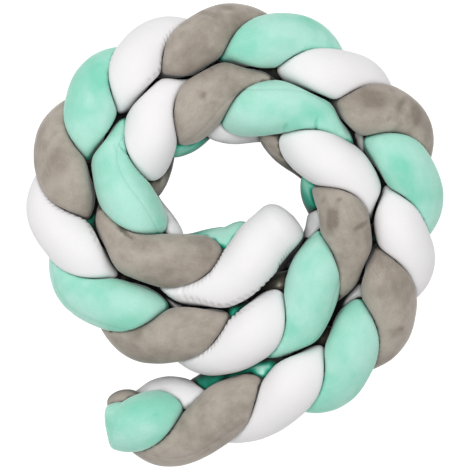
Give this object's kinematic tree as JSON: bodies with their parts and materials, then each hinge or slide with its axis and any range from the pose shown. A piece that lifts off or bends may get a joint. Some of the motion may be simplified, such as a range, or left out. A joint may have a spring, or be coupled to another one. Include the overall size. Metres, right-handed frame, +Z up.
{
  "type": "braided crib bumper",
  "caption": "Plaited crib bumper of stuffed velvet tubes, laid in a flat open coil; it lines the inside of a crib as a soft border.",
  "frame": {"origin": "on the surface that the coil lies on, under the middle of its footprint", "axes": "+Z up, out of the flat coil; +X and +Y across it, with the plait's outer end at low X and low Y"},
  "size_m": [0.6803, 0.7572, 0.1512],
  "materials": {
    "velvet_mint": "short-pile velvet, mint green",
    "velvet_grey": "short-pile velvet, warm grey",
    "velvet_white": "short-pile velvet, cool white"
  },
  "bodies": {
    "root": {"tube_mint": "velvet_mint", "tube_grey": "velvet_grey", "tube_white": "velvet_white"}
  },
  "joints": []
}
